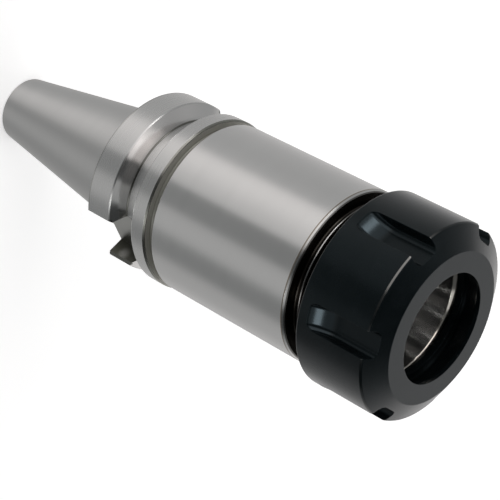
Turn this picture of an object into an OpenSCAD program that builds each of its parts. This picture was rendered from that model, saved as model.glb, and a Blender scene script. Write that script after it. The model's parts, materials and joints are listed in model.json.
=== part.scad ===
// Collet chuck holder: a steep-taper tool holder with a slotted clamping nut.
// The origin is on the axis at the gauge line, where the taper has its gauge diameter.
// +Z runs along the axis from the taper towards the nut, and the drive slots face +X and -X.
// Two pieces: the one-piece steel holder body, and the nut that screws on its nose.

/* [Spindle taper] */
// Diameter of the taper at the gauge line
gauge_dia = 31.75; // [30:0.05:32.5]
// Change of diameter for each millimetre of length
taper_rate = 0.29167; // [0.25:0.00001:0.3]
// Length of the taper from the gauge line to the small end
taper_len = 48.4; // [42:0.1:55]
// Chamfer at the small end
small_end_chamfer = 0.5; // [0.2:0.1:1]
// Depth of the grinding relief between taper and flange
taper_relief_depth = 0.4; // [0.2:0.1:0.8]
// Plain land between the gauge line and the grinding relief
taper_relief_start = 0.3; // [0.1:0.1:0.6]

/* [Drawbar hole] */
// Pilot diameter that centres the pull stud
pilot_dia = 12.5; // [12.1:0.1:14]
// Pilot depth from the small end
pilot_depth = 7; // [4:0.5:10]
// Outer diameter of the drawbar thread
drawbar_thread_dia = 12; // [11:0.1:12]
// Length of the drawbar thread beyond the pilot
drawbar_thread_len = 24; // [16:1:30]
// Chamfer at the mouth of the pilot
pilot_chamfer = 0.6; // [0.2:0.1:1]
// Hole that runs on from the drawbar thread to the collet bore
through_dia = 10.2; // [6:0.1:10.8]

/* [Flange] */
// Flange diameter
flange_dia = 46; // [44:0.5:50]
// Distance from the gauge line to the flange
flange_gap = 2; // [1.6:0.1:3]
// Flange width along the axis
flange_width = 20; // [19:0.5:24]
// Distance from the gauge line to the middle of the gripper groove
groove_place = 13.6; // [12.6:0.1:14.4]
// Width of the gripper groove at the flange diameter
groove_mouth = 8; // [7:0.1:9]
// Included angle of the gripper groove
groove_angle = 60; // [50:1:70]
// Diameter at the bottom of the gripper groove
groove_bottom_dia = 38; // [37:0.1:40]
// Fillet radius in the bottom corners of the gripper groove
groove_fillet = 0.4; // [0.2:0.1:0.6]
// Edge break at the mouth of the groove and at the rear rim
flange_edge_break = 0.2; // [0.1:0.1:0.6]
// Chamfer at the front rim of the flange
flange_front_chamfer = 0.4; // [0.2:0.1:1]

/* [Drive slots] */
// Width of the two drive slots
drive_slot_width = 16.1; // [14:0.1:18]
// Distance from the axis to the floor of a drive slot
drive_slot_floor = 16.3; // [16:0.1:18]
// Length of a drive slot, from the rear face of the flange
drive_slot_len = 15.5; // [12:0.1:17]
// Corner radius at the closed end of a drive slot
drive_slot_corner = 4; // [2:0.5:6]
// Chamfer along the long edges of a drive slot
drive_slot_chamfer = 0.9; // [0.4:0.1:1.4]

/* [Body] */
// Body diameter
body_dia = 45.2; // [44.4:0.1:50]
// Distance from the gauge line to the shoulder behind the nut
shoulder_place = 67.8; // [60:0.1:100]
// Chamfer at the front edge of the body
body_front_chamfer = 0.6; // [0.3:0.1:1.2]
// Edge break at the rear edge of the body
body_rear_break = 0.2; // [0.1:0.1:0.6]
// Width of the relief neck between flange and body
neck_width = 2.3; // [1.8:0.1:4]
// Diameter of the relief neck
neck_dia = 41; // [39:0.1:41]
// Fillet radius in the corners of the relief neck
neck_fillet = 0.4; // [0.2:0.1:0.8]

/* [Nose] */
// Thread diameter of the nose
nose_dia = 40; // [38:0.5:40.5]
// Length of the nose from the shoulder to its tip
nose_len = 19.5; // [17:0.1:25]
// Chamfer at the tip of the nose
nose_chamfer = 1; // [0.5:0.1:1.4]
// Depth of the thread, which the run-out behind the nut is turned down to
thread_depth = 0.92; // [0.6:0.01:1.2]
// Length of the run-out from the shoulder
runout_len = 6.8; // [3:0.1:8]
// Fillet between run-out and shoulder
runout_fillet = 0.5; // [0.2:0.1:0.8]

/* [Collet socket] */
// Mouth diameter of the socket at the tip of the nose
socket_mouth_dia = 33; // [32:0.1:33.6]
// Half angle of the socket cone
socket_angle = 8; // [6:0.5:9]
// Depth of the socket cone
socket_depth = 31; // [26:0.5:34]
// Width of the chamfer round the mouth
socket_chamfer = 0.7; // [0.3:0.1:1]
// Diameter of the clearance bore behind the cone
bore_dia = 24; // [18:0.5:26]
// Depth of the clearance bore from the tip of the nose
bore_depth = 60; // [45:0.5:62]
// Point angle at the bottom of the clearance bore
bore_point_angle = 118; // [90:1:140]

/* [Clamping nut] */
// Nut diameter
nut_dia = 50; // [48:0.5:54]
// Nut length
nut_len = 22.5; // [21:0.1:26]
// Radius round the rear edge of the nut
nut_rear_round = 0.3; // [0.2:0.1:1.2]
// Diameter of the flat face at the front
nut_face_dia = 38.46; // [37.5:0.01:41]
// Length of the cone between the flat face and the nut diameter
nut_cone_len = 3.25; // [2:0.05:4]
// Edge break where the cone meets the nut diameter
nut_edge_break = 0.35; // [0.1:0.05:0.6]
// Diameter of the opening in the face
opening_dia = 28; // [26:0.1:29]
// Length of the plain land inside the opening
opening_land = 1; // [0.6:0.1:1.6]
// Half angle of the seat that presses on a collet
seat_angle = 30; // [28:0.5:32]
// Large diameter of the seat
seat_dia = 33.2; // [32.4:0.1:33.6]
// Diameter of the groove behind the seat
snap_groove_dia = 34.6; // [34:0.1:36]
// Width of the groove behind the seat
snap_groove_width = 1; // [0.8:0.1:1.4]
// Diameter of the extraction lip
lip_dia = 31.8; // [31:0.1:32]
// Width of the extraction lip
lip_width = 1.7; // [1.2:0.1:2]
// Distance by which the lip is off centre
lip_offset = 0.7; // [0.3:0.05:0.9]
// Diameter of the thread relief inside the nut
nut_relief_dia = 41; // [40.8:0.1:42]
// Width of the thread relief inside the nut
nut_relief_width = 2.5; // [2:0.1:3]
// Chamfer at the rear mouth of the nut
nut_bore_chamfer = 0.9; // [0.5:0.1:1.2]
// Running clearance between nose and nut, on the radius
thread_clearance = 0.05; // [0.02:0.01:0.09]
// Gap left between the tip of the nose and the lip
nut_backoff = 0.75; // [0.3:0.05:1.5]
// Turn of the nut round the axis, from +X to the first spanner slot
nut_turn = 23; // [0:1:59]

/* [Spanner slots] */
// Number of spanner slots round the nut
slot_count = 6; // [4:1:8]
// Width of a spanner slot
slot_width = 6.8; // [5:0.1:8]
// Distance from the axis to the floor of a slot
slot_floor = 21.8; // [21.5:0.1:22.5]
// Radius in the bottom corners of a slot
slot_corner = 1.5; // [0.8:0.1:2]
// Radius of the arc in which the floor runs out towards the rear
slot_runout = 11.6; // [8:0.1:14]
// Distance from the rear face of the nut to the end of a slot
slot_margin = 2.65; // [1.5:0.05:5]

/* [Hidden] */
$fn = 96;
ARC_STEPS = 6;
CLEAR = 1;

function cone_radius(z) = gauge_dia / 2 + z * taper_rate / 2;

groove_half = groove_mouth / 2;
groove_depth = (flange_dia - groove_bottom_dia) / 2;
groove_bottom_half = groove_half - groove_depth * tan(groove_angle / 2);
flank_break_in = flange_edge_break * cos(groove_angle / 2);
flank_break_up = flange_edge_break * sin(groove_angle / 2);
groove_fillet_reach = groove_fillet * tan(45 - groove_angle / 4);
flange_front = flange_gap + flange_width;
body_rear = flange_front + neck_width;
body_r = body_dia / 2;
flange_r = flange_dia / 2;
nose_r = nose_dia / 2;
nose_tip = shoulder_place + nose_len;
runout_r = nose_r - thread_depth;
runout_end = shoulder_place + runout_len;

socket_mouth_r = socket_mouth_dia / 2;
mouth_chamfer_depth = socket_chamfer / (1 - tan(socket_angle));
socket_end_r = socket_mouth_r - socket_depth * tan(socket_angle);
bore_start = nose_tip - socket_depth - abs(socket_end_r - bore_dia / 2);
bore_end = nose_tip - bore_depth;
point_len = (bore_dia - through_dia) / 2 / tan(bore_point_angle / 2);

thread_start = -taper_len + pilot_depth;
thread_end = thread_start + drawbar_thread_len;

seat_len = (seat_dia - opening_dia) / 2 / tan(seat_angle);
groove_start = opening_land + seat_len;
lip_start = groove_start + snap_groove_width;
lip_end = lip_start + lip_width;
nut_relief_end = lip_end + nut_relief_width;
nut_front = nose_tip + nut_backoff + lip_end;
nut_rear = nut_front - nut_len;
nut_r = nut_dia / 2;
nut_bore_r = nose_r + thread_clearance;
cone_slope = atan2(nut_cone_len, (nut_dia - nut_face_dia) / 2);
slot_depth = nut_r - slot_floor;
slot_end = nut_rear + slot_margin;
runout_reach = sqrt(slot_runout * slot_runout - (slot_runout - slot_depth) * (slot_runout - slot_depth));
slot_full = slot_end + runout_reach;

// Points of a circular arc about [x, y], from angle a to angle b
function arc(x, y, r, a, b, steps = ARC_STEPS) =
    [for (i = [0 : steps]) let (t = a + (b - a) * i / steps) [x + r * cos(t), y + r * sin(t)]];

// Outside of the taper, from the small end to the rear face of the flange
function taper_outline() = [
    [cone_radius(-taper_len) - small_end_chamfer, -taper_len],
    [cone_radius(-taper_len + small_end_chamfer), -taper_len + small_end_chamfer],
    [gauge_dia / 2, 0],
    [gauge_dia / 2, taper_relief_start],
    [gauge_dia / 2 - taper_relief_depth, taper_relief_start + taper_relief_depth],
    [gauge_dia / 2 - taper_relief_depth, flange_gap - taper_relief_depth],
    [gauge_dia / 2, flange_gap]
];

// Filleted bottom corner of the gripper groove: side is -1 towards the taper and 1 towards the body
function groove_corner(side) =
    let (
        x = groove_bottom_dia / 2 + groove_fillet,
        y = groove_place + side * (groove_bottom_half - groove_fillet_reach),
        flank = 180 - side * (90 - groove_angle / 2)
    )
    side < 0 ? arc(x, y, groove_fillet, flank, 180) : arc(x, y, groove_fillet, 180, flank);

// Outside of the flange with its gripper groove
function flange_outline() = concat(
    [
        [flange_r - flange_edge_break, flange_gap],
        [flange_r, flange_gap + flange_edge_break],
        [flange_r, groove_place - groove_half - flange_edge_break],
        [flange_r - flank_break_in, groove_place - groove_half + flank_break_up]
    ],
    groove_corner(-1),
    groove_corner(1),
    [
        [flange_r - flank_break_in, groove_place + groove_half - flank_break_up],
        [flange_r, groove_place + groove_half + flange_edge_break],
        [flange_r, flange_front - flange_front_chamfer],
        [flange_r - flange_front_chamfer, flange_front]
    ]
);

// Outside of the relief neck and the body up to the shoulder
function body_outline() = concat(
    arc(neck_dia / 2 + neck_fillet, flange_front + neck_fillet, neck_fillet, 270, 180),
    arc(neck_dia / 2 + neck_fillet, body_rear - neck_fillet, neck_fillet, 180, 90),
    [
        [body_r - body_rear_break, body_rear],
        [body_r, body_rear + body_rear_break],
        [body_r, shoulder_place - body_front_chamfer],
        [body_r - body_front_chamfer, shoulder_place]
    ]
);

// Outside of the nose, from the shoulder to the mouth of the socket
function nose_outline() = concat(
    arc(runout_r + runout_fillet, shoulder_place + runout_fillet, runout_fillet, 270, 180),
    [
        [runout_r, runout_end - thread_depth],
        [nose_r, runout_end],
        [nose_r, nose_tip - nose_chamfer],
        [nose_r - nose_chamfer, nose_tip],
        [socket_mouth_r + socket_chamfer, nose_tip]
    ]
);

// Inside of the holder, from the socket mouth down to the small end
function inner_outline() = [
    [socket_mouth_r + socket_chamfer - mouth_chamfer_depth, nose_tip - mouth_chamfer_depth],
    [socket_end_r, nose_tip - socket_depth],
    [bore_dia / 2, bore_start],
    [bore_dia / 2, bore_end],
    [through_dia / 2, bore_end - point_len],
    [through_dia / 2, thread_end + (drawbar_thread_dia - through_dia) / 2],
    [drawbar_thread_dia / 2, thread_end],
    [drawbar_thread_dia / 2, thread_start + (pilot_dia - drawbar_thread_dia) / 2],
    [pilot_dia / 2, thread_start],
    [pilot_dia / 2, -taper_len + pilot_chamfer],
    [pilot_dia / 2 + pilot_chamfer, -taper_len]
];

module turned_holder() {
    rotate_extrude()
        polygon(concat(taper_outline(), flange_outline(), body_outline(), nose_outline(), inner_outline()));
}

// Plan of a drive slot: x is across the slot, y runs along the axis of the holder
module drive_slot_plan() {
    half = drive_slot_width / 2;
    polygon(concat(
        [[-half, -CLEAR], [half, -CLEAR]],
        arc(half - drive_slot_corner, drive_slot_len - drive_slot_corner, drive_slot_corner, 0, 90),
        arc(drive_slot_corner - half, drive_slot_len - drive_slot_corner, drive_slot_corner, 90, 180)
    ));
}

// Section of the chamfer along one long edge of a drive slot, seen along the axis
module drive_slot_edge() {
    half = drive_slot_width / 2;
    edge_x = sqrt(flange_r * flange_r - half * half);
    edge_angle = asin(half / flange_r) + drive_slot_chamfer / flange_r * 180 / PI;
    wall = [edge_x - drive_slot_chamfer, half];
    rim = [flange_r * cos(edge_angle), flange_r * sin(edge_angle)];
    reach = (rim - wall) / 2;
    polygon([wall - reach, rim + reach, [edge_x + 2 * drive_slot_chamfer, half - drive_slot_chamfer]]);
}

module drive_slot() {
    translate([drive_slot_floor, 0, flange_gap])
        rotate([90, 0, 90])
            linear_extrude(flange_r - drive_slot_floor + CLEAR)
                drive_slot_plan();
    for (side = [0, 1])
        mirror([0, side, 0])
            translate([0, 0, flange_gap - CLEAR])
                linear_extrude(groove_place - flange_gap + CLEAR)
                    drive_slot_edge();
}

module holder_body() {
    color("#b7b4ae")
        difference() {
            turned_holder();
            for (turn = [0, 180])
                rotate([0, 0, turn])
                    drive_slot();
        }
}

// Section of the nut, with the lip still solid inside its off-centre bore
module nut_section() {
    lip_core_r = lip_dia / 2 - lip_offset - CLEAR;
    cone_break = nut_edge_break * [cos(cone_slope), sin(cone_slope)];
    polygon(concat(
        [[nut_bore_r + nut_bore_chamfer, nut_rear]],
        arc(nut_r - nut_rear_round, nut_rear + nut_rear_round, nut_rear_round, 270, 360),
        [
            [nut_r, nut_front - nut_cone_len - nut_edge_break],
            [nut_r - cone_break[0], nut_front - nut_cone_len + cone_break[1]],
            [nut_face_dia / 2, nut_front],
            [opening_dia / 2, nut_front],
            [opening_dia / 2, nut_front - opening_land],
            [seat_dia / 2, nut_front - groove_start],
            [snap_groove_dia / 2, nut_front - groove_start],
            [snap_groove_dia / 2, nut_front - lip_start],
            [lip_core_r, nut_front - lip_start],
            [lip_core_r, nut_front - lip_end],
            [nut_relief_dia / 2, nut_front - lip_end],
            [nut_relief_dia / 2, nut_front - nut_relief_end],
            [nut_bore_r, nut_front - nut_relief_end - (nut_relief_dia / 2 - nut_bore_r)],
            [nut_bore_r, nut_rear + nut_bore_chamfer]
        ]
    ));
}

// Off-centre bore through the extraction lip
module lip_bore() {
    translate([lip_offset, 0, nut_front - lip_end - nut_relief_width / 2])
        cylinder(h = lip_width + nut_relief_width / 2 + snap_groove_width / 2, d = lip_dia);
}

// Section of a spanner slot: x is the distance from the axis of the nut, y is across the slot
module slot_section(floor_x, top_x) {
    half = slot_width / 2;
    difference() {
        translate([floor_x, -half])
            square([top_x - floor_x, slot_width]);
        for (side = [0, 1])
            mirror([0, side])
                translate([floor_x, half - slot_corner])
                    difference() {
                        translate([-CLEAR, 0])
                            square([slot_corner + CLEAR, slot_corner + CLEAR]);
                        translate([slot_corner, 0])
                            circle(slot_corner);
                    }
    }
}

// A spanner slot: a straight channel that opens through the front, and an arc that runs out at the rear
module spanner_slot() {
    slot_top = nut_r + CLEAR;
    arc_x = slot_floor + slot_runout;
    translate([0, 0, slot_full])
        linear_extrude(nut_front - slot_full + CLEAR)
            slot_section(slot_floor, slot_top);
    translate([arc_x, 0, slot_full])
        rotate([90, 0, 0])
            rotate([0, 0, 180])
                rotate_extrude(angle = 90)
                    mirror([1, 0])
                        translate([-arc_x, 0])
                            slot_section(slot_floor, slot_top);
}

module clamping_nut() {
    color("#26292b")
        rotate([0, 0, nut_turn])
            difference() {
                rotate_extrude()
                    nut_section();
                lip_bore();
                for (k = [0 : slot_count - 1])
                    rotate([0, 0, 360 * k / slot_count])
                        spanner_slot();
            }
}

holder_body();
clamping_nut();
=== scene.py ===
# %% [markdown]
# # A collet chuck holder, dressed for its picture
#
# The object is a tool holder for a milling machine. One piece of ground steel carries a steep taper, a
# flange with a groove and two drive slots, a long cylinder and a threaded nose. A black nut screws on the
# nose.
#
# Both pieces arrive as finished solids, so this script never changes their shape. It adds what a solid
# model leaves out: the camera, the light, the finish that grinding, turning and blacking leave on steel,
# the painted shade and painted highlights that the finish carries, and the two fine screw threads.

# %% Load the imported model
import json
import math

import bpy
from mathutils import Matrix, Vector


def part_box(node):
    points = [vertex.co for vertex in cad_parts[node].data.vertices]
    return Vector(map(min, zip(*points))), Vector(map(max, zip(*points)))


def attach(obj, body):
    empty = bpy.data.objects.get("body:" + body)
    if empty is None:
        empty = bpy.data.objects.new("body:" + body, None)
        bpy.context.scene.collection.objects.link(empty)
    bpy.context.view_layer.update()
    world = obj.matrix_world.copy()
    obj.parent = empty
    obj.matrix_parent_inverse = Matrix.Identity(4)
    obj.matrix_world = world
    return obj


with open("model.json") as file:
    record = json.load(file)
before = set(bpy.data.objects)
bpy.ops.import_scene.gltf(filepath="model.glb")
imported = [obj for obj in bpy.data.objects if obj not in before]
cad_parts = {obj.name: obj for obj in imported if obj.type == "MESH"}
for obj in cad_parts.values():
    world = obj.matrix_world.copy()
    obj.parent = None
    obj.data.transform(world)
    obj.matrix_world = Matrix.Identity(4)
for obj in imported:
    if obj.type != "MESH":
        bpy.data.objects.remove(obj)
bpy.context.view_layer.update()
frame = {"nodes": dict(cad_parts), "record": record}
holder = frame["nodes"]["holder_body"]
nut = frame["nodes"]["clamping_nut"]
scene = bpy.context.scene
scene.view_settings.view_transform = "Standard"
MM = 0.001
print("solids", sorted(frame["nodes"]))

# %% [markdown]
# ## Where things are on the holder
#
# The axis of the holder is Z, and its origin is at the gauge line of the taper. The places where one
# surface ends and the next begins are read from the boxes of the two solids and from the named mounts in
# the record. Only what neither of them says, such as the width of the gap behind the nut, is written here
# as a size.

# %% Read the places along the axis
mounts = {mount["name"]: mount for mount in frame["record"]["mounts"]}


def mount_place(name):
    """Place of a mount of the record, in metres."""
    return Vector(mounts[name]["pos_m"])


def mount_size(name, size):
    """One of the sizes of a mount, turned from millimetres to metres."""
    return mounts[name]["dims"][size] * MM


foot_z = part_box("holder_body")[0].z
nose_tip_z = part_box("holder_body")[1].z
nut_rear_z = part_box("clamping_nut")[0].z
nut_front_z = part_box("clamping_nut")[1].z
GAP_WIDTH = 5.95 * MM
shoulder_z = nut_rear_z - GAP_WIDTH
places = {"foot": foot_z, "shoulder": shoulder_z, "nut rear": nut_rear_z, "nut front": nut_front_z}
print("places in mm", {name: round(place / MM, 2) for name, place in places.items()})

# %% [markdown]
# ## The camera
#
# The photograph looks down on the holder from the nut end, with the camera rolled so that the axis runs
# across the picture from corner to corner. The camera is placed by the same words a photographer would
# use: the point it aims at, its distance, the compass direction, the height above the horizon and the
# roll.

# %% Place the camera
AIM = Vector((-4.47, -2.13, 39.25)) * MM
DISTANCE = 425.4 * MM
CAMERA_AZIMUTH = math.radians(115.52)
CAMERA_ELEVATION = math.radians(34.37)
CAMERA_ROLL = math.radians(118.31)
# The focal length and the width of the sensor, in millimetres as on a real camera
LENS = 124.6
SENSOR = 36


def direction(azimuth, elevation):
    """Unit vector that points at a compass direction, counted from +X, and a height above the horizon."""
    level = math.cos(elevation)
    return Vector((level * math.cos(azimuth), level * math.sin(azimuth), math.sin(elevation)))


def add_camera():
    """The photograph's camera. It looks along its own -Z, so its Z axis points back from the aim."""
    back = direction(CAMERA_AZIMUTH, CAMERA_ELEVATION)
    level_right = Vector((0, 0, 1)).cross(back).normalized()
    level_up = back.cross(level_right)
    right = level_right * math.cos(CAMERA_ROLL) + level_up * math.sin(CAMERA_ROLL)
    up = back.cross(right)
    data = bpy.data.cameras.new("camera")
    data.lens = LENS
    data.sensor_width = SENSOR
    data.clip_start = DISTANCE / 100
    data.clip_end = DISTANCE * 100
    camera = bpy.data.objects.new("camera", data)
    scene.collection.objects.link(camera)
    turned = Matrix((right, up, back)).transposed()
    camera.matrix_world = Matrix.Translation(AIM + back * DISTANCE) @ turned.to_4x4()
    scene.camera = camera
    return camera


camera = add_camera()
print("camera at", [round(c / MM, 1) for c in camera.matrix_world.translation], "mm")

# %% [markdown]
# ## Writing node trees as formulas
#
# A finish is a recipe in numbers: how bright, how rough, where. Node trees hide such a recipe behind dozens
# of small boxes. The class `Signal` wraps one output socket, so that an ordinary Python formula adds the
# Math nodes. The class `Sheet` wraps a node tree and adds every other kind of node in one way. Both serve
# the finishes, the painted room and, at the end, the tree that makes the threads.

# %% Wrap one socket
class Signal:
    """An output socket of a node tree that can be used in a formula."""

    def __init__(self, sheet, socket):
        self.sheet = sheet
        self.socket = socket

    def __add__(self, other):
        return self.sheet.maths("ADD", self, other)

    def __radd__(self, other):
        return self.sheet.maths("ADD", other, self)

    def __sub__(self, other):
        return self.sheet.maths("SUBTRACT", self, other)

    def __rsub__(self, other):
        return self.sheet.maths("SUBTRACT", other, self)

    def __mul__(self, other):
        return self.sheet.maths("MULTIPLY", self, other)

    def __rmul__(self, other):
        return self.sheet.maths("MULTIPLY", other, self)

    def __truediv__(self, other):
        return self.sheet.maths("DIVIDE", self, other)

    def __rtruediv__(self, other):
        return self.sheet.maths("DIVIDE", other, self)

    def __abs__(self):
        return self.sheet.maths("ABSOLUTE", self)

    def least(self, other):
        return self.sheet.maths("MINIMUM", self, other)

    def most(self, other):
        return self.sheet.maths("MAXIMUM", self, other)

    def root(self):
        """The square root."""
        return self.sheet.maths("POWER", self, 0.5)


print("a socket can be used in a formula")

# %% Wrap a node tree
class Sheet:
    """A node tree with one way of adding nodes, and the few moves that the trees below share."""

    def __init__(self, tree):
        self.tree = tree
        tree.nodes.clear()

    def add(self, kind, settings=None, values=None, output=0):
        """Adds a node, sets it up, fills its inputs with values or links, and gives back one output."""
        node = self.tree.nodes.new(kind)
        for name, value in (settings or {}).items():
            if name == "stops":
                self.set_stops(node.color_ramp, value)
            else:
                setattr(node, name, value)
        for key, value in (values or {}).items():
            if isinstance(value, Signal):
                self.tree.links.new(value.socket, node.inputs[key])
            else:
                node.inputs[key].default_value = value
        return Signal(self, node.outputs[output]) if node.outputs else node

    @staticmethod
    def set_stops(ramp, stops):
        """Gives a colour ramp its stops: each is a place from 0 to 1 and a colour."""
        ramp.interpolation = "EASE"
        ramp.elements.remove(ramp.elements[-1])
        ramp.elements[0].position, ramp.elements[0].color = stops[0]
        for place, colour in stops[1:]:
            ramp.elements.new(place).color = colour

    def maths(self, operation, first, second=0.0):
        return self.add("ShaderNodeMath", {"operation": operation}, {0: first, 1: second})

    def vector(self, x, y, z):
        return self.add("ShaderNodeCombineXYZ", None, {0: x, 1: y, 2: z})

    def split(self, vector):
        """The X, Y and Z of a vector."""
        return [self.add("ShaderNodeSeparateXYZ", None, {0: vector}, axis) for axis in "XYZ"]

    def rise(self, value, low, high):
        """0 below low, 1 above high, and a smooth step between them."""
        limits = {"Value": value, "From Min": low, "From Max": high, "To Min": 0.0, "To Max": 1.0}
        return self.add("ShaderNodeMapRange", {"interpolation_type": "SMOOTHSTEP"}, limits)

    def past(self, value, limit, soft=0.05):
        """0 below a limit and 1 above it, with a step that reaches as far as soft to both sides."""
        return self.rise(value, limit - soft, limit + soft)

    def band(self, value, span, soft=0.05):
        """1 between the two ends of a span and 0 outside, with both ends soft."""
        low, high = span
        return self.past(value, low, soft) * (1 - self.past(value, high, soft))

    def blend(self, factor, first, second):
        """A colour between two colours."""
        values = {"Factor": factor, 6: first, 7: second}
        return self.add("ShaderNodeMix", {"data_type": "RGBA"}, values, 2)

    def tint(self, first, second):
        """The product of two colours."""
        values = {"Factor": 1.0, 6: first, 7: second}
        return self.add("ShaderNodeMix", {"data_type": "RGBA", "blend_type": "MULTIPLY"}, values, 2)

    def noise(self, place, detail=2.0):
        """Soft random values about 0, from -0.5 to 0.5, that change over about one unit of the place."""
        values = {"Vector": place, "Scale": 1.0, "Detail": detail, "Roughness": 0.5}
        return self.add("ShaderNodeTexNoise", None, values) - 0.5


def rgba(colour):
    """A colour with its alpha, as sockets want it."""
    return (*colour, 1.0)


print("a node tree can be filled node by node")

# %% [markdown]
# ## The floor and the room
#
# The photograph has a white background without an edge. Here a white floor that runs far past the picture
# gives the same, and it still takes the holder's soft shadow.
#
# Polished metal has no brightness of its own: it shows what stands round it. On the real cylinder that is
# a grey table with one white stretch and two dark ones, which is why long bands run along it. Those
# stretches are painted into the part of the world below the horizon, where no camera sees them past the
# floor, and the floor lets the reflections through.

# %% Lay the floor
FLOOR_SIZE = 6.0
FLOOR_COLOUR = (0.96, 0.96, 0.96)
FLOOR_GLOW = 0.42


def floor_paper():
    """White paper that glows a little where a ray from the camera or a mirror meets it."""
    material = bpy.data.materials.new("floor_paper")
    material.use_nodes = True
    sheet = Sheet(material.node_tree)
    paper = sheet.add("ShaderNodeBsdfDiffuse", None, {"Color": rgba(FLOOR_COLOUR)})
    kinds = ("Is Camera Ray", "Is Glossy Ray", "Is Transmission Ray")
    camera_ray, glossy_ray, through_ray = (sheet.add("ShaderNodeLightPath", output=kind) for kind in kinds)
    seen = camera_ray.most(glossy_ray).most(through_ray)
    glow = sheet.add("ShaderNodeEmission", None, {"Strength": seen * FLOOR_GLOW})
    bright_paper = sheet.add("ShaderNodeAddShader", None, {0: paper, 1: glow})
    sheet.add("ShaderNodeOutputMaterial", None, {"Surface": bright_paper})
    return material


def add_floor():
    half = FLOOR_SIZE / 2
    corners = [(-half, -half, foot_z), (half, -half, foot_z), (half, half, foot_z), (-half, half, foot_z)]
    mesh = bpy.data.meshes.new("floor")
    mesh.from_pydata(corners, [], [(0, 1, 2, 3)])
    mesh.materials.append(floor_paper())
    floor = bpy.data.objects.new("floor", mesh)
    scene.collection.objects.link(floor)
    floor.visible_glossy = False
    return floor


floor = add_floor()
print("floor at", round(floor.data.vertices[0].co.z / MM, 2), "mm")

# %% Choose what stands round the holder
# Stretches round the room: each stop is a turn from the side of the camera, in degrees, and a brightness
TABLE_STOPS = [
    (-180, 0.68), (-170, 0.74), (-160, 0.86), (-150, 0.83), (-140, 0.75), (-130, 0.67), (-118, 0.62),
    (-101, 0.57), (-74, 0.58), (-63, 1.06), (-10, 0.71), (-2, 0.345), (26, 0.345), (36, 0.61), (62, 0.61),
    (73, 0.335), (97, 0.335), (108, 0.61), (130, 0.62), (140, 0.66), (150, 0.76), (160, 0.73), (170, 0.62),
    (180, 0.68),
]
WALL_STOPS = [
    (-180, 0.8), (-163, 0.85), (-150, 0.95), (-137, 0.5), (-118, 0.45), (-90, 0.4), (-72, 0.45),
    (-58, 0.9), (-40, 1.3), (-12, 1.0), (-3, 0.08), (28, 0.08), (37, 0.45), (63, 0.45), (72, 0.06),
    (98, 0.06), (108, 0.3), (122, 0.5), (136, 0.9), (150, 1.1), (163, 0.85), (180, 0.8),
]
# The brighter a stretch, the warmer it is: what each channel gains between mid grey and white
MID_GREY = 0.6
WARMTH = (0.06, -0.012, -0.03)


def ramp_stops(stops):
    """Stops round the compass as stops of a colour ramp, warmer where they are bright."""
    rows = []
    for turn, level in stops:
        lit = min(level, 1.0) - MID_GREY
        colour = [level * (1 + gain * lit) for gain in WARMTH]
        rows.append((turn / 360 + 0.5, rgba(colour)))
    return rows


print("the table has", len(TABLE_STOPS), "stops and the walls have", len(WALL_STOPS))

# %% Paint the room
# The stretches fan out round a line that leans away from the camera, and a dark cap covers its upper end
FAN_LEAN = math.radians(11.6)
CAP_EDGE = math.radians(22)
CAP_CORE = math.radians(14)
CAP_GREY = (0.03, 0.03, 0.03)
# The table goes over into the walls between these heights, and fades to plain grey straight below
TABLE_END = math.radians(-32)
WALL_START = math.radians(-14)
PLAIN_END = math.radians(-56)
PLAIN_START = math.radians(-44)
PLAIN_SHARE = 0.62
PLAIN_GREY = (0.69, 0.69, 0.69)


def paint_room():
    world = bpy.data.worlds.new("room")
    world.use_nodes = True
    scene.world = world
    sheet = Sheet(world.node_tree)
    x, y, z = sheet.split(sheet.add("ShaderNodeTexCoord", output="Generated"))
    ahead = direction(CAMERA_AZIMUTH, 0)
    aside = direction(CAMERA_AZIMUTH + math.pi / 2, 0)
    along, across = (x * towards.x + y * towards.y for towards in (ahead, aside))
    outwards = along * math.cos(FAN_LEAN) + z * math.sin(FAN_LEAN)
    upwards = z * math.cos(FAN_LEAN) - along * math.sin(FAN_LEAN)
    place = sheet.maths("ARCTAN2", across, outwards) / math.tau + 0.5
    table = sheet.add("ShaderNodeValToRGB", {"stops": ramp_stops(TABLE_STOPS)}, {"Fac": place})
    walls = sheet.add("ShaderNodeValToRGB", {"stops": ramp_stops(WALL_STOPS)}, {"Fac": place})
    plain = (1 - sheet.rise(z, math.sin(PLAIN_END), math.sin(PLAIN_START))) * PLAIN_SHARE
    table = sheet.blend(plain, table, rgba(PLAIN_GREY))
    room = sheet.blend(sheet.rise(z, math.sin(TABLE_END), math.sin(WALL_START)), table, walls)
    cap = sheet.rise(upwards, math.cos(CAP_EDGE), math.cos(CAP_CORE))
    room = sheet.blend(cap, room, rgba(CAP_GREY))
    background = sheet.add("ShaderNodeBackground", None, {"Color": room, "Strength": 1.0})
    sheet.add("ShaderNodeOutputWorld", None, {"Surface": background})
    return len(world.node_tree.nodes)


print("room painted with", paint_room(), "nodes")

# %% [markdown]
# ## The lamps
#
# Three square lamps stand round the holder, as soft boxes do in a studio. They are dim, because the room
# already gives the plain level of light. Their work is the small bright patches where the slots of the
# nut run out, the bright stretches of its edges, and the sheen at the back of its cone.

# %% Hang the lamps
# Each lamp: name, compass direction and height in degrees, distance and side in metres, strength in watts
LAMPS = [
    ("left_softbox", 55.5, 25.0, 0.9, 0.24, 0.75),
    ("right_softbox", 168.5, 27.0, 0.9, 0.22, 0.70),
    ("back_softbox", 295.5, 58.0, 0.9, 0.5, 1.1),
]


def hang_lamp(name, azimuth, elevation, distance, side, watts):
    """A square lamp that shines at the point the camera aims at."""
    data = bpy.data.lights.new(name, "AREA")
    data.size = side
    data.energy = watts
    lamp = bpy.data.objects.new(name, data)
    towards = direction(math.radians(azimuth), math.radians(elevation))
    lamp.location = AIM + towards * distance
    lamp.rotation_mode = "QUATERNION"
    lamp.rotation_quaternion = towards.to_track_quat("Z", "Y")
    scene.collection.objects.link(lamp)


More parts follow.
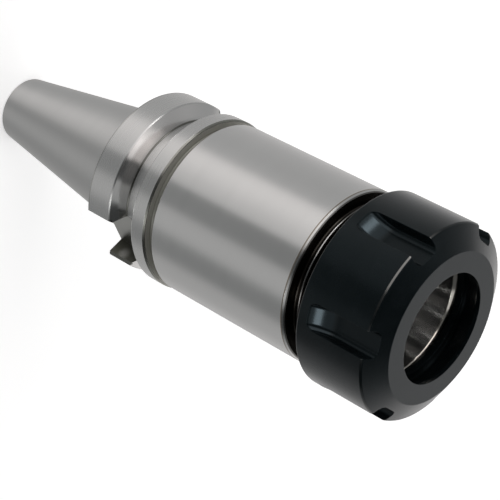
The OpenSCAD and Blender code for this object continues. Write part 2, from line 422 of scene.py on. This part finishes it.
for row in LAMPS:
    hang_lamp(*row)
print("lamps hung:", [row[0] for row in LAMPS])

# %% [markdown]
# ## What the two finishes share
#
# All but the slots of this object is cut round its axis, so its surfaces are stacks of very fine rings. A
# random value that changes quickly along Z and slowly round the axis draws the rings that can be seen one
# by one. On a flat face the same value follows the distance from the axis. Real edges are never quite
# sharp, so the Bevel node rounds the normal next to them, and they catch a line of light.

# %% Define what both finishes share
TOOL_MARK_DEPTH = 0.004 * MM
# How fast the random value of the rings changes with x and y, for each millimetre
ROUND_RATE = 0.02


class Place:
    """The place on the object in millimetres: x, y and z, and how far it lies from the axis."""

    def __init__(self, sheet):
        point = sheet.add("ShaderNodeTexCoord", output="Object")
        self.x, self.y, self.z = (part / MM for part in sheet.split(point))
        self.radius = (self.x * self.x + self.y * self.y).root()
        self.reach, self.side = abs(self.x), abs(self.y)


def rings(sheet, at, spacing, detail):
    """Random rings round the axis, about one for each spacing in millimetres, from -0.5 to 0.5."""
    place = sheet.vector(at.x * ROUND_RATE, at.y * ROUND_RATE, at.z / spacing)
    return sheet.noise(place, detail)


def face_rings(sheet, at, spacing):
    """The same on a face that was turned across, where the rings follow the distance from the axis."""
    return sheet.noise(sheet.vector(at.x * ROUND_RATE, at.y * ROUND_RATE, at.radius / spacing))


def clouds(sheet, at, width, height, detail):
    """Random blotches about as wide and as high as given in millimetres, from -0.5 to 0.5."""
    return sheet.noise(sheet.vector(at.x / width, at.y / width, at.z / height), detail)


def stretch(sheet, at, turn, core, reach):
    """1 within core degrees of a turn from +X round the axis, and 0 beyond reach degrees from it."""
    facing = direction(math.radians(turn), 0)
    ends, middle = math.cos(math.radians(reach)), math.cos(math.radians(core))
    return sheet.rise((at.x * facing.x + at.y * facing.y) / at.radius, ends, middle)


def tooled_normal(sheet, height, strength, edge_round):
    """The normal of a surface with fine tool marks and slightly rounded edges."""
    rounded = sheet.add("ShaderNodeBevel", {"samples": 6}, {"Radius": edge_round})
    values = {"Strength": strength, "Distance": TOOL_MARK_DEPTH, "Height": height, "Normal": rounded}
    return sheet.add("ShaderNodeBump", None, values)


def recipe(start, parts, shares):
    """A starting value, plus each part that the shares name, times its share."""
    for name, share in shares.items():
        start = start + parts[name] * share
    return start


def new_finish(name):
    """An empty material and its sheet."""
    material = bpy.data.materials.new(name)
    material.use_nodes = True
    return material, Sheet(material.node_tree)


print("tool marks are", TOOL_MARK_DEPTH / MM, "mm deep")

# %% [markdown]
# ## Ground steel
#
# The holder is hardened steel, ground on the taper and the cylinder and turned on the flange. The rings
# blur a reflection along the axis and leave it sharp across, which the shader's anisotropy does.
#
# The steel isn't the same all over. The taper is duller. A painted highlight makes a stretch of the groove's
# flanks brighter and warmer. Painted shade darkens the neck, the drive slots, the edges of the flange, the
# corner of the groove, the front edge of the body and the gap behind the nut, and leaves out a stretch of
# the thread on the side that faces the camera. A painted highlight brightens the chamfer at the socket's
# mouth.
# Each of these zones is a mask: a number from 0 to 1 that is worked out from the place on the holder, so
# that no picture and no unwrapping is needed.

# %% Name the places where the steel changes
# All of these are in millimetres: along the axis from the gauge line, or out from the axis
GAUGE = mount_place("spindle_taper").z / MM
FLANGE_REAR = GAUGE + 2
FLANGE_FRONT = FLANGE_REAR + 20
FLANGE_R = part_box("holder_body")[1].y / MM
GROOVE_MIDDLE = mount_place("gripper_groove").z / MM
GROOVE_FLOOR_R = mount_size("gripper_groove", "r_mm") / MM
BODY_REAR = FLANGE_FRONT + 2.3
BODY_R = 22.6
BODY_CHAMFER = 0.6
SHOULDER = shoulder_z / MM
SOCKET_MOUTH_R = mount_size("collet_socket", "r_mm") / MM
# Past this distance from the axis, above the taper, everything is outside the socket
OUTSIDE_R = SOCKET_MOUTH_R + 0.65
print("flange", FLANGE_REAR, "to", FLANGE_FRONT, "mm, groove at", round(GROOVE_MIDDLE, 2), "mm")
print("body", BODY_REAR, "to", round(SHOULDER, 2), "mm")

# %% Find the flange
FLANGE = (FLANGE_REAR, FLANGE_FRONT)
# The two edges of the flange and the corner of the groove, where painted shade darkens the steel
FLANGE_REAR_EDGE = (FLANGE_REAR + 0.1, FLANGE_REAR + 0.5)
FLANGE_FRONT_EDGE = (FLANGE_FRONT - 0.38, FLANGE_FRONT + 0.05)
GROOVE = (GROOVE_MIDDLE - 3.9, GROOVE_MIDDLE + 3.9)
GROOVE_CORNER = (GROOVE_MIDDLE - 1.95, GROOVE_MIDDLE - 1.45)
REAR_EDGE_R = FLANGE_R - 0.35
FRONT_EDGE_R = FLANGE_R - 0.55
CORNER_TOP_R = GROOVE_FLOOR_R + 0.275
FLANK_FOOT_R = GROOVE_FLOOR_R + 0.4
# The painted highlight covers the flanks beyond this distance from the axis
FLANK_HIGHLIGHT_R = GROOVE_FLOOR_R + 0.8
# The flanks get a painted highlight a quarter turn from the drive slots: the sine of the turn from them
HIGHLIGHT_START = 0.6
HIGHLIGHT_FULL = 0.9


def flange_zones(sheet, at):
    """The flange, the flanks of its groove, and the parts of both that get a painted highlight or painted
    shade.
    """
    flank = sheet.band(at.z, GROOVE, 0.1) * sheet.past(at.radius, FLANK_FOOT_R, 0.1)
    # Where the flanks get their painted highlight, a quarter turn from the drive slots
    highlight_side = sheet.rise(at.side / at.radius, HIGHLIGHT_START, HIGHLIGHT_FULL)
    corner = sheet.band(at.z, GROOVE_CORNER) * (1 - sheet.past(at.radius, CORNER_TOP_R, 0.075))
    return {
        "flange": sheet.band(at.z, FLANGE, 0.1) * at.outside,
        "flank": flank,
        "flank highlight": flank * sheet.past(at.radius, FLANK_HIGHLIGHT_R, 0.4) * highlight_side,
        # Painted shade in the corner of the groove and along both edges of the flange
        "groove corner shade": corner * at.outside,
        "flange rear edge shade": sheet.band(at.z, FLANGE_REAR_EDGE) * sheet.past(at.radius, REAR_EDGE_R),
        "flange front edge shade": sheet.band(at.z, FLANGE_FRONT_EDGE, 0.03) * sheet.past(at.radius, FRONT_EDGE_R),
    }


# Where the painted highlight on the flanks begins, in degrees from the drive slots
print("the flanks are painted brighter from", round(math.degrees(math.asin(HIGHLIGHT_START))), "degrees on")

# %% Find the taper and the neck
TAPER_END = GAUGE + 0.2
NECK = (FLANGE_FRONT - 0.02, BODY_REAR + 0.02)
NECK_FLOOR_R = 21.0
NECK_TOP_R = BODY_R - 0.2


def taper_and_neck_zones(sheet, at):
    """The taper, the relief neck between flange and body, and its floor; the neck and its floor get painted
    shade.
    """
    neck = sheet.band(at.z, NECK, 0.02) * (1 - sheet.past(at.radius, NECK_TOP_R, 0.1)) * at.outside
    return {
        "taper": 1 - sheet.past(at.z, TAPER_END, 0.2),
        "neck": neck,
        "neck floor": neck * (1 - sheet.past(at.radius, NECK_FLOOR_R)),
    }


print("neck", FLANGE_FRONT, "to", BODY_REAR, "mm")

# %% Find the drive slots
SLOT_FLOOR = mount_place("drive_slot_front").x / MM
SLOT_LENGTH = mount_size("drive_slot_front", "slot_length_mm") / MM
SLOT_HALF_WIDTH = 8.05
SLOT = (FLANGE_REAR - 0.02, FLANGE_REAR + SLOT_LENGTH + 0.05)
SLOT_CHAMFER = (SLOT_HALF_WIDTH + 0.04, SLOT_HALF_WIDTH + 0.85)
SLOT_CHAMFER_REACH = 20.45
# How much painted shade covers a slot wall, how much that varies, and how much lighter it is in one spot
WALL_SHADE_COVER = 0.84
WALL_SHADE_VARIES = 0.5
WALL_SHADE_LIFTED = 0.55
# Where the painted shade is lighter: the place of the spot's middle, and its size
LIGHT_SPOT_REACH = 19.4
LIGHT_SPOT_Z = 6.1
LIGHT_SPOT_R = 1.3


def slot_zones(sheet, at, cloudy):
    """The milled surfaces of the drive slots, the painted shade on their side walls, and the chamfers along
    them.
    """
    along = sheet.band(at.z, SLOT, 0.02)
    slot = along * sheet.past(at.reach, SLOT_FLOOR - 0.15)
    slot = slot * (1 - sheet.past(at.side, SLOT_HALF_WIDTH + 0.04, 0.02))
    wall = slot * sheet.past(at.side, SLOT_HALF_WIDTH - 0.1)
    chamfer = along * sheet.past(at.reach, SLOT_CHAMFER_REACH) * sheet.band(at.side, SLOT_CHAMFER, 0.02)
    off_x = at.reach - LIGHT_SPOT_REACH
    off_z = at.z - LIGHT_SPOT_Z
    light_spot = 1 - sheet.past((off_x * off_x + off_z * off_z).root(), LIGHT_SPOT_R, 0.9)
    wall_shade = wall * (WALL_SHADE_COVER - cloudy * WALL_SHADE_VARIES - light_spot * WALL_SHADE_LIFTED)
    # The slot, its walls and the chamfers along it all get painted shade
    return {"slot": slot, "slot wall shade": wall_shade, "slot chamfer": chamfer}


print("drive slots", round(SLOT_LENGTH, 2), "mm long, floor", round(SLOT_FLOOR, 2), "mm from the axis")

# %% Find the gap behind the nut
SHOULDER_FACE = (SHOULDER - 0.03, SHOULDER + 0.2)
CHAMFER_FOOT = (SHOULDER - 0.26, SHOULDER + 0.1)
# The front edge of the body, whose chamfer gets a brownish painted shade
BODY_FRONT_EDGE = (SHOULDER - 0.95, SHOULDER - 0.6)
NOSE_START = SHOULDER + 0.15
FACE_TOP_R = BODY_R - BODY_CHAMFER
CHAMFER_FOOT_R = BODY_R - 1.35
ROOT_TOP_R = 19.85
CREST_TOP_R = 20.15
# How much painted shade the crests of the thread and the foot of the chamfer take
SHADE_ON_EDGES = 0.8
# The stretch of the thread that is left out of the painted shade: its turn from +X and how far it reaches,
# in degrees
UNSHADED_TURN = 108.0
UNSHADED_CORE = 8.0
UNSHADED_REACH = 26.0


def gap_zones(sheet, at):
    """Painted shade on the shoulder, the thread and the foot of the chamfer in the gap, and on the body's
    front edge.
    """
    nose = sheet.past(at.z, NOSE_START)
    face = sheet.band(at.z, SHOULDER_FACE, 0.01) * (1 - sheet.past(at.radius, FACE_TOP_R))
    root = nose * (1 - sheet.past(at.radius, ROOT_TOP_R))
    unshaded = stretch(sheet, at, UNSHADED_TURN, UNSHADED_CORE, UNSHADED_REACH)
    crest = nose * (1 - sheet.past(at.radius, CREST_TOP_R)) * (1 - unshaded)
    chamfer = sheet.band(at.z, CHAMFER_FOOT, 0.06) * sheet.past(at.radius, CHAMFER_FOOT_R, 0.25)
    edges = crest.most(chamfer) * SHADE_ON_EDGES
    return {
        "gap shade": face.most(root).most(edges) * at.outside,
        "body front edge shade": sheet.band(at.z, BODY_FRONT_EDGE, 0.06) * at.outside,
    }


print("the gap begins at", round(SHOULDER, 2), "mm")

# %% Find the collet socket
SOCKET_FOOT = 56.5
MOUTH_START = nose_tip_z / MM - 1
MOUTH_TOP_R = SOCKET_MOUTH_R + 0.9


def socket_zones(sheet, at):
    """The inside of the collet socket, and the chamfer at its mouth, which gets a painted highlight."""
    return {
        "socket": sheet.past(at.z, SOCKET_FOOT, 0.5) * (1 - at.outside),
        "socket mouth": sheet.past(at.z, MOUTH_START) * (1 - sheet.past(at.radius, MOUTH_TOP_R, 0.1)),
    }


print("socket", SOCKET_FOOT, "to", round(MOUTH_START, 2), "mm")

# %% Write the recipe of the steel
STEEL = (0.56, 0.558, 0.55)
# Painted shade: OLIVE_SHADE darkens the neck floor, the drive slots and the edges of the flange, and
# SLOT_SHADE the slot walls, their chamfers and the corner of the groove
OLIVE_SHADE = (0.17, 0.17, 0.14)
SLOT_SHADE = (0.06, 0.06, 0.045)
# Brownish painted shade on the chamfer at the front of the body
BODY_EDGE_SHADE = (0.20, 0.165, 0.125)
# A painted highlight: the flanks' reflection made brighter and warmer
FLANK_HIGHLIGHT_COLOUR = (0.80, 0.77, 0.755)
# Painted shade of the neck, a darker olive grey
NECK_PAINTED_SHADE = (0.50, 0.495, 0.46)
# A painted highlight: a paler steel that makes the chamfer at the socket's mouth shine brighter
MOUTH_HIGHLIGHT = (0.95, 0.90, 0.82)
# Near-black painted shade in the gap behind the nut
GAP_SHADE = (0.04, 0.036, 0.031)
# How much of the mirror is left where a surface is seen at a glancing angle
STEEL_GLANCE = (0.8, 0.8, 0.8)
# Each zone that is painted a colour of its own, all of them painted shade or painted highlights: its name,
# how much the colour covers, and the colour
ZONE_COLOURS = [
    ("flank highlight", 0.42, FLANK_HIGHLIGHT_COLOUR),
    ("flange rear edge shade", 0.4, OLIVE_SHADE),
    ("neck", 1.0, NECK_PAINTED_SHADE),
    ("neck floor", 0.6, OLIVE_SHADE),
    ("flange front edge shade", 0.75, OLIVE_SHADE),
    # Painted shade on the floors and walls of the drive slots and along their chamfers
    ("slot", 0.45, OLIVE_SHADE),
    ("slot wall shade", 1.0, SLOT_SHADE),
    ("slot chamfer", 0.8, SLOT_SHADE),
    ("body front edge shade", 0.85, BODY_EDGE_SHADE),
    ("socket mouth", 1.0, MOUTH_HIGHLIGHT),
    ("groove corner shade", 0.8, SLOT_SHADE),
    ("gap shade", 1.0, GAP_SHADE),
]
PLAIN_STEEL_ROUGHNESS = 0.25
# What the rings, the clouds and the zones add to each value of the shader
STEEL_SHADE = {"fine rings": 0.04, "coarse rings": 0.05, "clouds": 0.06, "taper": -0.04, "flange": -0.03}
STEEL_ROUGHNESS = {
    "fine rings": 0.05, "coarse rings": 0.04, "clouds": 0.05,
    "taper": 0.17, "flange": 0.02, "flank": -0.14, "neck": 0.12, "slot": 0.15, "socket": -0.12,
}
STEEL_METAL = {"neck": -0.35, "neck floor": -0.35}
STEEL_HEIGHT = {"fine rings": 0.5, "coarse rings": 0.3, "face rings": 0.2}
# How much lower the tool marks are in the zones that are cut more finely
STEEL_HEIGHT_LEFT = {"flange": -0.5, "socket": -0.8}
STEEL_MARK_STRENGTH = 0.16
STEEL_EDGE_ROUND = 0.12 * MM
print(len(ZONE_COLOURS), "zones have a colour of their own")

# %% Make the ground steel
def ground_steel():
    material, sheet = new_finish("ground_steel")
    at = Place(sheet)
    at.outside = sheet.past(at.radius, OUTSIDE_R, 0.25)
    parts = {
        "fine rings": rings(sheet, at, spacing=0.35, detail=3.0),
        "coarse rings": rings(sheet, at, spacing=2.6, detail=2.0),
        "face rings": face_rings(sheet, at, spacing=0.5),
        "clouds": clouds(sheet, at, width=14, height=9, detail=3.0),
    }
    for find_zones in (taper_and_neck_zones, flange_zones, gap_zones, socket_zones):
        parts.update(find_zones(sheet, at))
    parts.update(slot_zones(sheet, at, parts["clouds"]))

    shade = recipe(1.0, parts, STEEL_SHADE)
    colour = sheet.tint(rgba(STEEL), sheet.vector(shade, shade, shade))
    for name, share, zone_colour in ZONE_COLOURS:
        colour = sheet.blend(parts[name] * share, colour, rgba(zone_colour))
    height = recipe(0.0, parts, STEEL_HEIGHT) * recipe(1.0, parts, STEEL_HEIGHT_LEFT)
    shader = sheet.add("ShaderNodeBsdfPrincipled", None, {
        "Base Color": colour,
        "Metallic": recipe(1.0, parts, STEEL_METAL),
        "Roughness": recipe(PLAIN_STEEL_ROUGHNESS, parts, STEEL_ROUGHNESS),
        "Normal": tooled_normal(sheet, height, STEEL_MARK_STRENGTH, STEEL_EDGE_ROUND),
        "Anisotropic": 0.7, "Anisotropic Rotation": 0.25, "Specular Tint": rgba(STEEL_GLANCE),
    })
    sheet.add("ShaderNodeOutputMaterial", None, {"Surface": shader})
    return material


steel = ground_steel()
holder.data.materials.clear()
holder.data.materials.append(steel)
print("ground steel has", len(steel.node_tree.nodes), "nodes")

# %% [markdown]
# ## Black oxide
#
# The nut is turned steel that was blacked in a hot salt bath. The coat is a thin dull skin, almost without
# a mirror of its own, and it is rubbed through to bare metal on the outer rims, where spanners and benches
# meet it. More bare metal is laid on one stretch of the front rim as a painted highlight, and a little
# bluish bare metal where the spanner slots run out, as a painted sheen. These places are masks again, and a
# Mix
# Shader lays the bare metal over the coat by as much as they say.

# %% Name the places on the nut
# All of these are in millimetres, along the axis or out from it
NUT_REAR = nut_rear_z / MM
NUT_FRONT = nut_front_z / MM
NUT_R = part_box("clamping_nut")[1].y / MM
CONE_EDGE = (NUT_FRONT - 3.62, NUT_FRONT - 3.22)
REAR_RIM_END = NUT_REAR + 0.25
RIM_R = NUT_R - 0.45
RUN_OUT = (NUT_REAR + 2, NUT_REAR + 8.5)
RUN_OUT_R = (21.6, NUT_R - 0.3)
# The stretch of the front rim that gets a painted highlight: its turn from +X and how far it reaches, in
# degrees
RIM_HIGHLIGHT_TURN = 98.0
RIM_HIGHLIGHT_CORE = 12.0
RIM_HIGHLIGHT_REACH = 34.0


def nut_zones(sheet, at):
    """The edge of the cone, the rear rim, the run-outs of the spanner slots, and the stretch of painted
    highlight.
    """
    on_rim = sheet.past(at.radius, RIM_R, 0.1)
    return {
        "cone edge": sheet.band(at.z, CONE_EDGE, 0.04) * on_rim,
        "rear rim": (1 - sheet.past(at.z, REAR_RIM_END)) * on_rim,
        "run-out": sheet.band(at.radius, RUN_OUT_R, 0.1) * sheet.band(at.z, RUN_OUT, 1.0),
        "rim highlight stretch": stretch(sheet, at, RIM_HIGHLIGHT_TURN, RIM_HIGHLIGHT_CORE, RIM_HIGHLIGHT_REACH),
    }


print("nut", round(NUT_REAR, 2), "to", round(NUT_FRONT, 2), "mm, radius", round(NUT_R, 2), "mm")

# %% Write the recipe of the black oxide
OXIDE = (0.0016, 0.0030, 0.0036)
OXIDE_DUSTY = (0.0034, 0.0052, 0.0060)
OXIDE_GLOSS_TINT = (0.20, 0.26, 0.285)
RUBBED_EDGE = (0.58, 0.565, 0.54)
# Bluish bare metal in the run-outs of the slots, which makes a painted sheen there
RUN_OUT_SHEEN = (0.42, 0.53, 0.60)
PLAIN_OXIDE_ROUGHNESS = 0.24
OXIDE_ROUGHNESS = {
    "fine rings": 0.05, "clouds": 0.08, "cone edge": -0.08, "rear rim": -0.08, "run-out": -0.06,
}
OXIDE_HEIGHT = {"fine rings": 0.5, "face rings": 0.5}
OXIDE_MARK_STRENGTH = 0.2
NUT_EDGE_ROUND = 0.2 * MM
# How much of the coat is rubbed off: the share in the whole zone, and what other parts add to it there
COAT_WEAR = {
    # On the edge of the cone, the stretch adds bare metal as a painted highlight
    "cone edge": (0.03, {"patches": 0.05, "rim highlight stretch": 0.22}),
    "rear rim": (0.02, {"patches": 0.1}),
    # The little bare metal in the run-outs is bluish, a painted sheen
    "run-out": (0.04, {}),
}
print("the coat is rubbed on:", list(COAT_WEAR))

# %% Make the black oxide
def black_oxide():
    material, sheet = new_finish("black_oxide")
    at = Place(sheet)
    parts = {
        "fine rings": rings(sheet, at, spacing=0.4, detail=2.0),
        "face rings": face_rings(sheet, at, spacing=0.45),
        "clouds": clouds(sheet, at, width=6, height=6, detail=4.0),
    }
    parts["patches"] = sheet.past(parts["clouds"], 0.0, 0.25)
    parts.update(nut_zones(sheet, at))

    bare = 0.0
    for name, (whole_zone, added) in COAT_WEAR.items():
        bare = bare + parts[name] * recipe(whole_zone, parts, added)
    rough = recipe(PLAIN_OXIDE_ROUGHNESS, parts, OXIDE_ROUGHNESS)
    height = recipe(0.0, parts, OXIDE_HEIGHT)
    normal = tooled_normal(sheet, height, OXIDE_MARK_STRENGTH, NUT_EDGE_ROUND)
    coat = sheet.add("ShaderNodeBsdfPrincipled", None, {
        "Base Color": sheet.blend(parts["patches"], rgba(OXIDE), rgba(OXIDE_DUSTY)),
        "Roughness": rough, "Normal": normal,
        "Specular IOR Level": 0.5, "Specular Tint": rgba(OXIDE_GLOSS_TINT),
    })
    bare_metal = sheet.add("ShaderNodeBsdfPrincipled", None, {
        "Base Color": sheet.blend(parts["run-out"], rgba(RUBBED_EDGE), rgba(RUN_OUT_SHEEN)),
        "Metallic": 1.0, "Roughness": rough, "Normal": normal,
    })
    shader = sheet.add("ShaderNodeMixShader", None, {0: bare, 1: coat, 2: bare_metal})
    sheet.add("ShaderNodeOutputMaterial", None, {"Surface": shader})
    return material


oxide = black_oxide()
nut.data.materials.clear()
nut.data.materials.append(oxide)
print("black oxide has", len(oxide.node_tree.nodes), "nodes")

# %% [markdown]
# ## The two screw threads
#
# The solids carry plain cylinders where the threads are, so the ridges are added here. A thread is one
# ridge that follows a helix, which is exactly what Curve to Mesh sweeps: a spiral for the path and a
# trapezoid for the ridge. The same small node tree makes the thread of the nose, whose ridge points
# outwards, and the thread of the drawbar hole, whose ridge points inwards. The ends of the ridge fade out
# over part of a turn, as those of a cut thread do.

# %% Build the thread tree
THREAD_SIZES = (
    "Root radius", "Turns", "Pitch", "Base width", "Crest width", "Ridge height", "Ridge turn",
    "Start height", "Fade turns",
)
# The ridge never shrinks to nothing at its ends, so that its mesh stays closed
LEAST_RIDGE = 0.02


def thread_tree():
    """Geometry Nodes: a trapezoid ridge along a helix, with named sizes."""
    tree = bpy.data.node_groups.new("thread_ridge", "GeometryNodeTree")
    kinds = dict.fromkeys(THREAD_SIZES, "NodeSocketFloat")
    kinds["Steps for each turn"] = "NodeSocketInt"
    kinds["Finish"] = "NodeSocketMaterial"
    for name, kind in kinds.items():
        tree.interface.new_socket(name, in_out="INPUT", socket_type=kind)
    tree.interface.new_socket("Geometry", in_out="OUTPUT", socket_type="NodeSocketGeometry")
    sheet = Sheet(tree)
    given = {name: sheet.add("NodeGroupInput", output=name) for name in kinds}

    helix = sheet.add("GeometryNodeCurveSpiral", None, {
        "Resolution": given["Steps for each turn"], "Rotations": given["Turns"],
        "Start Radius": given["Root radius"], "End Radius": given["Root radius"],
        "Height": given["Turns"] * given["Pitch"], "Reverse": True,
    })
    upright = sheet.add("GeometryNodeSetCurveNormal", {"mode": "Z_UP"}, {"Curve": helix})
    ridge = sheet.add("GeometryNodeCurvePrimitiveQuadrilateral", {"mode": "TRAPEZOID"}, {
        "Bottom Width": given["Base width"], "Top Width": given["Crest width"],
        "Height": given["Ridge height"], "Offset": 0.0,
    })
    lift = sheet.vector(0.0, given["Ridge height"] * 0.5, 0.0)
    seated = sheet.add("GeometryNodeTransform", None, {"Geometry": ridge, "Translation": lift})
    turn = sheet.vector(0.0, 0.0, given["Ridge turn"])
    turned = sheet.add("GeometryNodeTransform", None, {"Geometry": seated, "Rotation": turn})

    along = sheet.add("GeometryNodeSplineParameter", output="Factor")
    turns_to_end = along.least(1 - along) * given["Turns"]
    size = (turns_to_end / given["Fade turns"]).least(1.0).most(LEAST_RIDGE)
    swept = sheet.add("GeometryNodeCurveToMesh", None, {
        "Curve": upright, "Profile Curve": turned, "Scale": size, "Fill Caps": True,
    })
    start = sheet.vector(0.0, 0.0, given["Start height"])
    raised = sheet.add("GeometryNodeTransform", None, {"Geometry": swept, "Translation": start})
    real = sheet.add("GeometryNodeRealizeInstances", None, {"Geometry": raised})
    dressed = sheet.add("GeometryNodeSetMaterial", None, {"Geometry": real, "Material": given["Finish"]})
    sheet.add("NodeGroupOutput", None, {"Geometry": dressed})
    return tree


thread_ridge = thread_tree()
print("thread tree has", len(thread_ridge.nodes), "nodes")

# %% Define how a thread is cut
def cut_thread(name, finish, **sizes):
    """One thread as a plain mesh, made by the thread tree with the sizes given by their socket names."""
    carrier = bpy.data.objects.new(name + "_carrier", bpy.data.meshes.new(name + "_carrier"))
    scene.collection.objects.link(carrier)
    modifier = carrier.modifiers.new("thread", "NODES")
    modifier.node_group = thread_ridge
    values = {key.replace("_", " ").capitalize(): value for key, value in sizes.items()}
    values["Finish"] = finish
    for socket in thread_ridge.interface.items_tree:
        if socket.in_out == "INPUT":
            modifier[socket.identifier] = values[socket.name]
    graph = bpy.context.evaluated_depsgraph_get()
    mesh = bpy.data.meshes.new_from_object(carrier.evaluated_get(graph), depsgraph=graph)
    carrier.modifiers.remove(modifier)
    bpy.data.objects.remove(carrier)
    mesh.name = name
    thread = bpy.data.objects.new(name, mesh)
    scene.collection.objects.link(thread)
    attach(thread, "holder")
    heights = [vertex.co.z / MM for vertex in mesh.vertices]
    reach = [math.hypot(vertex.co.x, vertex.co.y) / MM for vertex in mesh.vertices]
    print(name, "from z", round(min(heights), 2), "to", round(max(heights), 2), "mm")
    print("radius", round(min(reach), 2), "to", round(max(reach), 2), "mm,", len(mesh.polygons), "faces")


# Which way a ridge points, as a turn of its outline, and how deep its foot is sunk into the cylinder
OUTWARDS = -math.pi / 2
INWARDS = math.pi / 2
SEAT = 0.04 * MM
print("ridges are sunk by", SEAT / MM, "mm")

# %% Cut the thread of the nose
NOSE_PITCH = 1.5 * MM
NOSE_ROOT_R = 19.08 * MM
NOSE_RIDGE_HEIGHT = 0.9 * MM
NOSE_RIDGE_BASE = 1.25 * MM
NOSE_RIDGE_CREST = NOSE_PITCH / 8
NOSE_THREAD_TURNS = 3.0
NOSE_THREAD_START = shoulder_z + 1.2 * MM
cut_thread(
    "nose_thread", steel, root_radius=NOSE_ROOT_R - SEAT, turns=NOSE_THREAD_TURNS, pitch=NOSE_PITCH,
    base_width=NOSE_RIDGE_BASE, crest_width=NOSE_RIDGE_CREST, ridge_height=NOSE_RIDGE_HEIGHT + SEAT,
    ridge_turn=OUTWARDS, start_height=NOSE_THREAD_START, fade_turns=0.15, steps_for_each_turn=120,
)

# %% Cut the thread of the drawbar hole
DRAWBAR_PITCH = 1.75 * MM
DRAWBAR_RIDGE_HEIGHT = 0.9 * MM
DRAWBAR_RIDGE_BASE = DRAWBAR_PITCH * 7 / 8
DRAWBAR_RIDGE_CREST = DRAWBAR_PITCH / 4
drawbar_r = mount_size("drawbar_thread", "r_mm")
drawbar_length = mount_size("drawbar_thread", "length_mm")
drawbar_turns = drawbar_length / DRAWBAR_PITCH - 1
drawbar_start = mount_place("drawbar_thread").z - drawbar_turns * DRAWBAR_PITCH / 2
cut_thread(
    "drawbar_thread", steel, root_radius=drawbar_r + SEAT, turns=drawbar_turns, pitch=DRAWBAR_PITCH,
    base_width=DRAWBAR_RIDGE_BASE, crest_width=DRAWBAR_RIDGE_CREST,
    ridge_height=DRAWBAR_RIDGE_HEIGHT + SEAT, ridge_turn=INWARDS, start_height=drawbar_start,
    fade_turns=0.5, steps_for_each_turn=72,
)
